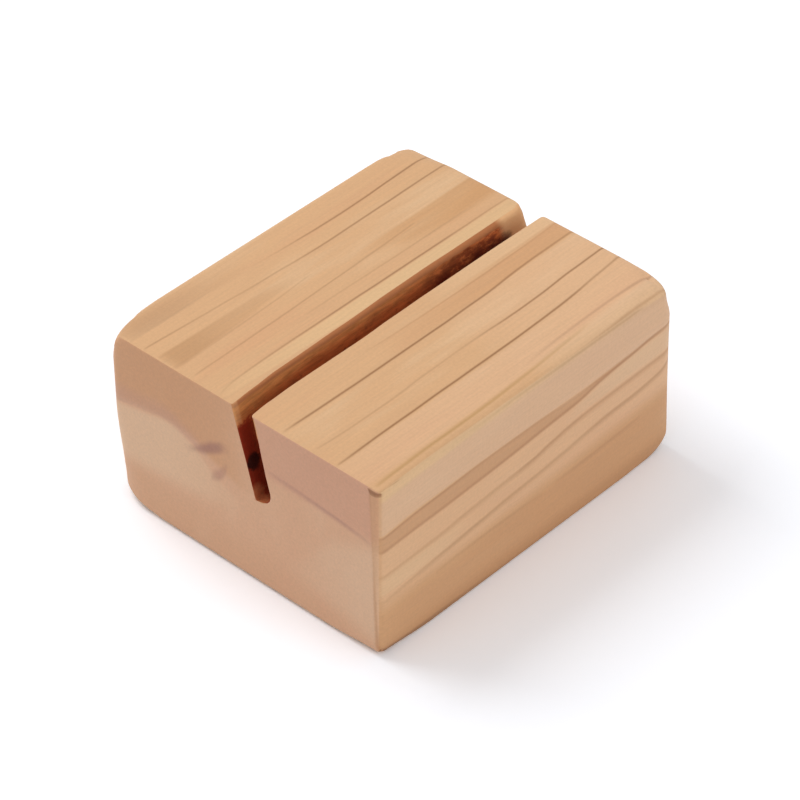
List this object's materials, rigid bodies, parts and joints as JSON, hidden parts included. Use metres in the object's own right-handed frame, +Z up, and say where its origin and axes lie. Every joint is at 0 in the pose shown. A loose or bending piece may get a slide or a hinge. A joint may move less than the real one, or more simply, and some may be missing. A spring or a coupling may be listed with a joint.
{
  "type": "photo block holder",
  "caption": "Wooden photo block holder: one sanded block of softwood with a leaning saw kerf along its top, open at both ends, that holds a print or card upright on a flat surface.",
  "frame": {"origin": "The middle of the block's foot, on the surface that it stands on.", "axes": "X runs across the block and across the kerf. Y runs along the kerf, from the front end with the crisp top edge to the far end. Z is up. The kerf's foot lies further along +X than its mouth."},
  "size_m": [0.08, 0.095, 0.046],
  "materials": {
    "sanded_softwood": "satin"
  },
  "bodies": {
    "root": {"wood_block": "sanded_softwood"}
  },
  "joints": []
}
